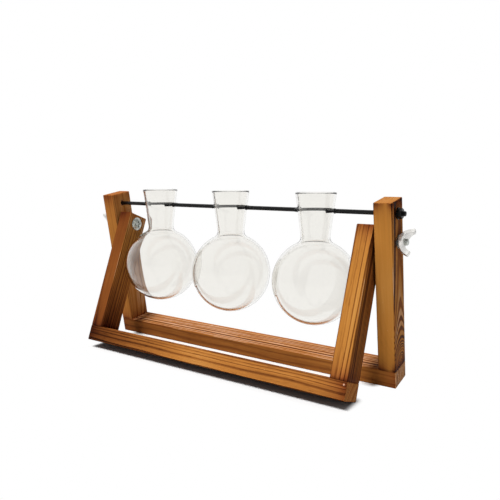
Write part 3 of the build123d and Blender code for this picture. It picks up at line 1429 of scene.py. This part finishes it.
@dataclass
class WingNut:
    """A die-cast wing nut: a low hub and one thick crescent, which thins out into the two wings.

    The crescent's half width and half thickness are each given at the hub and at the tips.
    """

    side: Side
    pivot: Point = (12.081, 116.734)
    base_x: float = 151.1
    hub_base_radius: float = 4.1
    hub_top_radius: float = 3.7
    hub_edge: float = 0.4
    hub_height: float = 3.2
    turn: float = 49.0
    arc_radius: float = 10.7
    arc_height: float = 2.0
    arc_reach: float = 75.0
    width: Point = (2.0, 2.1)
    thickness: Point = (5.0, 1.3)
    fade_power: int = 3
    squareness: float = 0.32
    tip_share: float = 0.06
    tip_least: float = 0.05
    around: int = 40
    steps: int = 60
    voxel: float = 0.2
    smoothing: int = 3
    smoothing_factor: float = 0.5

    def hub(self) -> np.ndarray:
        """The hub's rings, in millimetres, with the nut's axis on X."""
        sizes = (
            (0.0, self.hub_base_radius - self.hub_edge),
            (self.hub_edge, self.hub_base_radius),
            (self.hub_height, self.hub_top_radius),
        )
        return ringed(len(sizes), self.around, lambda row, angle: round_x(*sizes[row], angle))

    def crescent(self) -> np.ndarray:
        """The wings' rings: squared ovals along an arc, wide at the hub and thin at the tips.

        Returns:
            The rings, in millimetres, with the nut's axis on X and the wings along Y.
        """

        def cast(row: int, angle: float) -> Point3:
            """A point of the crescent."""
            share = 2 * row / self.steps - 1
            swing = math.radians(self.arc_reach) * share
            fade = math.sin(abs(share) * math.pi / 2) ** self.fade_power
            half_width, half_thickness = (a + (b - a) * fade for a, b in (self.width, self.thickness))
            tip = max(0.0, (abs(share) - 1 + self.tip_share) / self.tip_share)
            cap = math.sqrt(max(self.tip_least, 1 - tip**2))
            reach = self.arc_radius + self.squared(math.cos(angle)) * half_width * cap
            x = self.arc_height + self.arc_radius - reach * math.cos(swing)
            return (x, reach * math.sin(swing), self.squared(math.sin(angle)) * half_thickness * cap)

        return ringed(self.steps + 1, self.around, cast)

    def squared(self, value: float) -> float:
        """Pushes a point of a circle out towards a square with round corners."""
        return math.copysign(abs(value) ** self.squareness, value)

    def build(self, material: bpy.types.Material) -> None:
        """Casts the nut in one piece and seats it.

        Args:
            material: The plating.
        """
        node = self.side.word + "_wing_nut"
        work = bmesh.new()
        for rings in (self.hub(), self.crescent()):
            part = grid_mesh(node, rings)
            work.from_mesh(part)
            bpy.data.meshes.remove(part)
        bmesh.ops.recalc_face_normals(work, faces=work.faces)
        piece = new_piece("dressed_" + node, mesh_from(work, node), material)
        remesh = piece.modifiers.new("cast", "REMESH")
        remesh.mode = "VOXEL"
        remesh.voxel_size = self.voxel * MM
        smooth = piece.modifiers.new("soft", "SMOOTH")
        smooth.iterations = self.smoothing
        smooth.factor = self.smoothing_factor
        applied(piece)
        piece.data.shade_smooth()
        turned = Matrix.Rotation(math.radians(self.turn), 4, "X")
        facing = Matrix.Identity(4) if self.side is Side.RIGHT else Matrix.Rotation(math.pi, 4, "Z")
        seat = Matrix.Translation(Vector((self.side.value * self.base_x, *self.pivot)) * MM)
        piece.data.transform(seat @ facing @ turned)
        seat_piece(piece, node, node)


# Studio


@dataclass
class Studio:
    """The white floor, the soft lamp and the camera at the photographed angle, in metres and watts."""

    camera_place: Point3 = (0.28327, -0.38348, 0.16644)
    camera_yaw: float = 0.5907
    camera_pitch: float = 0.1376
    camera_roll: float = -0.0022
    camera_near: float = 0.01
    lens_mm: float = 39.46
    sensor_mm: float = 36.0
    lamp_place: Point3 = (-0.08, -0.8, 1.5)
    lamp_aim: Point3 = (0.0, 0.0, 0.08)
    lamp_size: float = 0.42
    lamp_power: float = 27.0
    floor_size: float = 30.0
    floor_colour: str = "#E8E8E8"
    floor_shown: float = 1.05
    rail_half_size: Point = (0.13, 0.012)
    rail_away: float = 0.032
    shadow_reach: Point = (0.001, 0.009)
    sky_light: float = 0.16
    room_dark: float = 0.55
    back_wall: Point3 = (-0.6, 0.45, 0.66)
    back_wall_range: Point = (-0.1, 0.75)
    ceiling: Point3 = (-0.25, -0.25, 0.94)
    ceiling_range: Point = (0.72, 0.86)

    def build(self) -> None:
        """Sets up the view, the floor, the world, the lamp and the camera."""
        bpy.context.scene.view_settings.view_transform = "Standard"
        self.floor()
        self.world()
        self.lamp()
        self.camera()

    @staticmethod
    def seen(graph: Graph, *kinds: str) -> Socket:
        """Tells rays that show the background from rays that carry light.

        Args:
            graph: The node tree.
            *kinds: The Light Path outputs that count.

        Returns:
            1 for those rays, and 0 for the rest.
        """
        found = graph.add("LightPath", out=kinds[0])
        for kind in kinds[1:]:
            found = graph.math("MAXIMUM", found, graph.add("LightPath", out=kind))
        return found

    def floor(self) -> None:
        """Lays the white floor, which keeps the object's shadow near it and is plain white further off."""
        material = bpy.data.materials.new("white_paper")
        graph = Graph(material)
        shows = self.seen(graph, "Is Camera Ray", "Is Transmission Ray")
        colour = graph.mix(shows, linear(self.floor_colour), grey(self.floor_shown))
        paper = graph.add("BsdfDiffuse", {"Color": colour})
        glow = graph.add("Emission", {"Color": WHITE, "Strength": 1.0})
        beyond = graph.place()
        for size in ((0, self.rail_away, 0), (*self.rail_half_size, 0)):
            beyond = graph.vector("SUBTRACT", graph.vector("ABSOLUTE", beyond), size)
        beyond = graph.vector("MAXIMUM", beyond, (0, 0, 0))
        away = graph.vector("LENGTH", beyond, out="Value")
        further = graph.remap(away, self.shadow_reach, curve="SMOOTHSTEP")
        shown = self.seen(graph, "Is Camera Ray", "Is Glossy Ray", "Is Transmission Ray")
        share = graph.math("MULTIPLY", further, shown)
        graph.add("OutputMaterial", {0: graph.add("MixShader", {0: share, 1: paper, 2: glow})})
        half = self.floor_size / 2
        mesh = bpy.data.meshes.new("floor")
        corners = [(-half, -half, 0), (half, -half, 0), (half, half, 0), (-half, half, 0)]
        mesh.from_pydata(corners, [], [(0, 1, 2, 3)])
        mesh.materials.append(material)
        floor = linked("floor", mesh)

    def world(self) -> None:
        """Lights all round, shows as white, and gives gloss a white wall and ceiling in a dimmer room."""
        world = bpy.data.worlds.new("studio")
        bpy.context.scene.world = world
        graph = Graph(world)
        way = graph.add("TexCoord", out="Generated")
        bright = []
        for facing, reach in ((self.back_wall, self.back_wall_range), (self.ceiling, self.ceiling_range)):
            towards = graph.vector("DOT_PRODUCT", way, facing, out="Value")
            bright.append(graph.remap(towards, reach, curve="SMOOTHSTEP"))
        room = graph.mix(graph.math("MAXIMUM", *bright), grey(self.room_dark), WHITE)
        lit = graph.mix(self.seen(graph, "Is Glossy Ray"), grey(self.sky_light), room)
        colour = graph.mix(self.seen(graph, "Is Camera Ray", "Is Transmission Ray"), lit, WHITE)
        graph.add("OutputWorld", {0: graph.add("Background", {"Color": colour, "Strength": 1.0})})

    def lamp(self) -> None:
        """Hangs the square softbox, which faces the object."""
        data = bpy.data.lights.new("key_softbox", "AREA")
        data.size = self.lamp_size
        data.energy = self.lamp_power
        lamp = linked("key_softbox", data)
        lamp.location = self.lamp_place
        way = Vector(self.lamp_aim) - Vector(self.lamp_place)
        lamp.rotation_euler = way.to_track_quat("-Z", "Y").to_euler()
        lamp.visible_camera = False
        lamp.visible_glossy = False
        lamp.visible_transmission = False

    def camera(self) -> None:
        """Places the camera where the photograph was taken from."""
        data = bpy.data.cameras.new("camera")
        data.lens = self.lens_mm
        data.sensor_width = self.sensor_mm
        data.clip_start = self.camera_near
        camera = linked("camera", data)
        camera.matrix_world = (
            Matrix.Translation(self.camera_place)
            @ Matrix.Rotation(self.camera_yaw, 4, "Z")
            @ Matrix.Rotation(math.pi / 2 - self.camera_pitch, 4, "X")
            @ Matrix.Rotation(self.camera_roll, 4, "Z")
        )
        bpy.context.scene.camera = camera


def dress(nodes: dict[str, bpy.types.Object], names: list[str], material: bpy.types.Material) -> None:
    """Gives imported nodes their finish.

    Args:
        nodes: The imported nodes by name.
        names: Those that get the finish.
        material: The finish.
    """
    for name in names:
        for slot in nodes[name].material_slots:
            slot.material = material
        LOG.info("%s keeps its packed shape, in %s", name, material.name)


def main() -> None:
    """Builds the pieces in order."""
    logging.basicConfig(level=logging.INFO, format="%(message)s")
    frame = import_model()
    nodes = frame["nodes"]
    pine = CharredPine().build()
    glass = BlownGlass().build()
    black = PaintedSteel().build()
    zinc = BrightMetal("bright_zinc_plate", "#BDC0BA", "#8F938F", 0.26).build()
    cast = BrightMetal("cast_zinc", "#F8F6F1", "#DAD9D6", 0.28, cloud_mm=4.0, metallic=0.7).build()
    wire = BrightMetal("drawn_steel_wire", "#A8A49C", "#7C786F", 0.4).build()
    Studio().build()
    for timber in stand():
        timber.build(pine)
    ResinBead().build(DriedResin().build())
    for at, word in enumerate(VASE_WORDS):
        place = ((at - 1) * VASE_SPACING, *BAR_LEVEL)
        GlassVase(word + "_vase", place, seed=VASE_SEED_STEP * at).build(glass)
    BarWork().build(black)
    for side in Side:
        WingNut(side).build(cast)
    sides = [side.word for side in Side]
    dress(nodes, [f"{s}_{p}" for s in sides for p in ("pivot_bolt", "pivot_spacer", "nut_washer")], zinc)
    dress(nodes, [f"{s}_{p}" for s in sides for p in ("bridge_bar", "bar_washer", "bar_nut")], black)
    dress(nodes, [f"{word}_neck_clip" for word in VASE_WORDS], black)
    dress(nodes, ["rear_frame_brads", "front_frame_brads"], wire)


if __name__ == "__main__":
    main()
